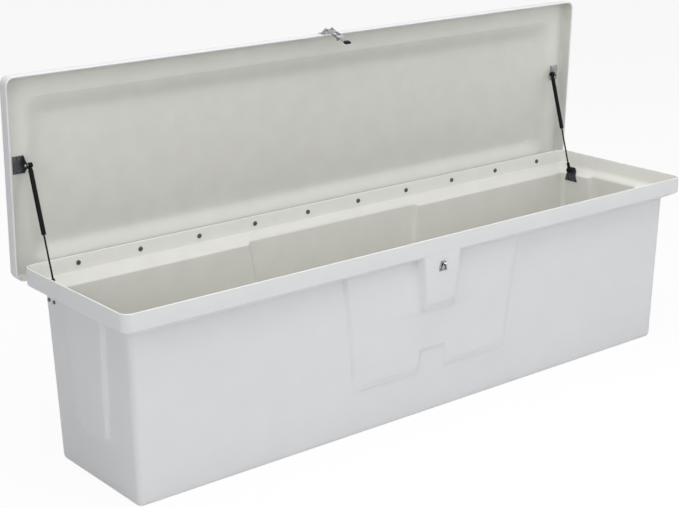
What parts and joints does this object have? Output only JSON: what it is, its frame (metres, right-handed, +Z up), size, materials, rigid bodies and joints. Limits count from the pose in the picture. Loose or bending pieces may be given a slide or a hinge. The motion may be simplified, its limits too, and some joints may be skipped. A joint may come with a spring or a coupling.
{
  "type": "dock box",
  "caption": "Long low dock box: moulded tub with flared rim and raised panels, lid on a piano hinge held open by gas struts, over-centre latch on the front",
  "frame": {"origin": "on the floor under the middle of the tub", "axes": "+X along the box to its right end, +Y to the hinge side, +Z up; the latch is toward -Y"},
  "size_m": [2.436, 0.7102, 1.2508],
  "materials": {
    "gelcoat_outside": "glossy white gelcoat on glass fibre",
    "gelcoat_lid": "glossy white gelcoat on glass fibre",
    "stainless": "plain stainless steel",
    "zinc_plate": "zinc plated steel",
    "dark_bracket": "dark grey plated steel",
    "dark_bolts": "dark grey bolt heads",
    "black_paint": "satin black paint",
    "black_rod": "smooth black nitrided rod",
    "black_plastic": "matte black nylon",
    "latch_chrome": "bright polished plate",
    "grip_plastic": "matte black moulded grip"
  },
  "bodies": {
    "tub": {"tub": "gelcoat_outside", "hinge_tub_leaf": "stainless", "hinge_pin": "stainless", "hinge_tub_screws": "stainless", "strut_tub_bracket_left": "zinc_plate", "strut_tub_bracket_right": "zinc_plate", "strut_tub_ball_left": "zinc_plate", "strut_tub_ball_right": "zinc_plate", "tub_bracket_bolts_left": "dark_bolts", "tub_bracket_bolts_right": "dark_bolts", "keeper": "latch_chrome", "keeper_screws": "latch_chrome"},
    "lid": {"lid": "gelcoat_lid", "hinge_lid_leaf": "stainless", "hinge_lid_screws": "stainless", "strut_lid_bracket_left": "dark_bracket", "strut_lid_bracket_right": "zinc_plate", "strut_lid_ball_left": "zinc_plate", "strut_lid_ball_right": "zinc_plate", "lid_bracket_bolts_left": "dark_bolts", "lid_bracket_bolts_right": "zinc_plate", "latch_base": "latch_chrome", "latch_base_screws": "latch_chrome", "bail_pin": "latch_chrome"},
    "bail": {"latch_bail": "latch_chrome", "lever_pin": "latch_chrome"},
    "lever": {"latch_lever": "latch_chrome", "latch_grip": "grip_plastic"},
    "tube_left": {"strut_tube_left": "black_paint", "strut_guide_left": "black_plastic", "strut_lid_socket_left": "black_plastic"},
    "rod_left": {"strut_rod_left": "black_rod", "strut_piston_left": "zinc_plate", "strut_tub_socket_left": "black_plastic"},
    "tube_right": {"strut_tube_right": "black_paint", "strut_guide_right": "black_plastic", "strut_lid_socket_right": "black_plastic"},
    "rod_right": {"strut_rod_right": "black_rod", "strut_piston_right": "zinc_plate", "strut_tub_socket_right": "black_plastic"}
  },
  "joints": [
    {"name": "lid_hinge", "type": "hinge", "parent": "tub", "child": "lid", "pos_m": [0, 0.312, 0.592], "axis": [1, 0, 0], "range_deg": [0, 87.4], "stiffness_Nm_per_rad": 8, "springref_deg": -34.38},
    {"name": "strut_swing_left", "type": "hinge", "parent": "lid", "child": "tube_left", "pos_m": [-1.143, 0.31841, 0.94465], "axis": [1, 0, 0], "range_deg": [0, 9.73]},
    {"name": "strut_slide_left", "type": "slide", "parent": "tube_left", "child": "rod_left", "axis": [0, 0.2807, 0.9598], "range_m": [0, 0.13304]},
    {"name": "strut_swing_right", "type": "hinge", "parent": "lid", "child": "tube_right", "pos_m": [1.143, 0.31841, 0.94465], "axis": [1, 0, 0], "range_deg": [0, 9.73]},
    {"name": "strut_slide_right", "type": "slide", "parent": "tube_right", "child": "rod_right", "axis": [0, 0.2807, 0.9598], "range_m": [0, 0.13304]},
    {"name": "bail_hinge", "type": "hinge", "parent": "lid", "child": "bail", "pos_m": [0, 0.28223, 1.24532], "axis": [-1, 0, 0], "range_deg": [0, 100]},
    {"name": "lever_hinge", "type": "hinge", "parent": "bail", "child": "lever", "pos_m": [0, 0.22743, 1.22634], "axis": [-1, 0, 0], "range_deg": [0, 110]}
  ],
  "couplings": [
    {"joint": "strut_swing_left", "follows": "lid_hinge", "ratio": 0.11125},
    {"joint": "strut_slide_left", "follows": "lid_hinge", "m_per_rad": 0.087149},
    {"joint": "strut_swing_right", "follows": "lid_hinge", "ratio": 0.11125},
    {"joint": "strut_slide_right", "follows": "lid_hinge", "m_per_rad": 0.087149}
  ]
}
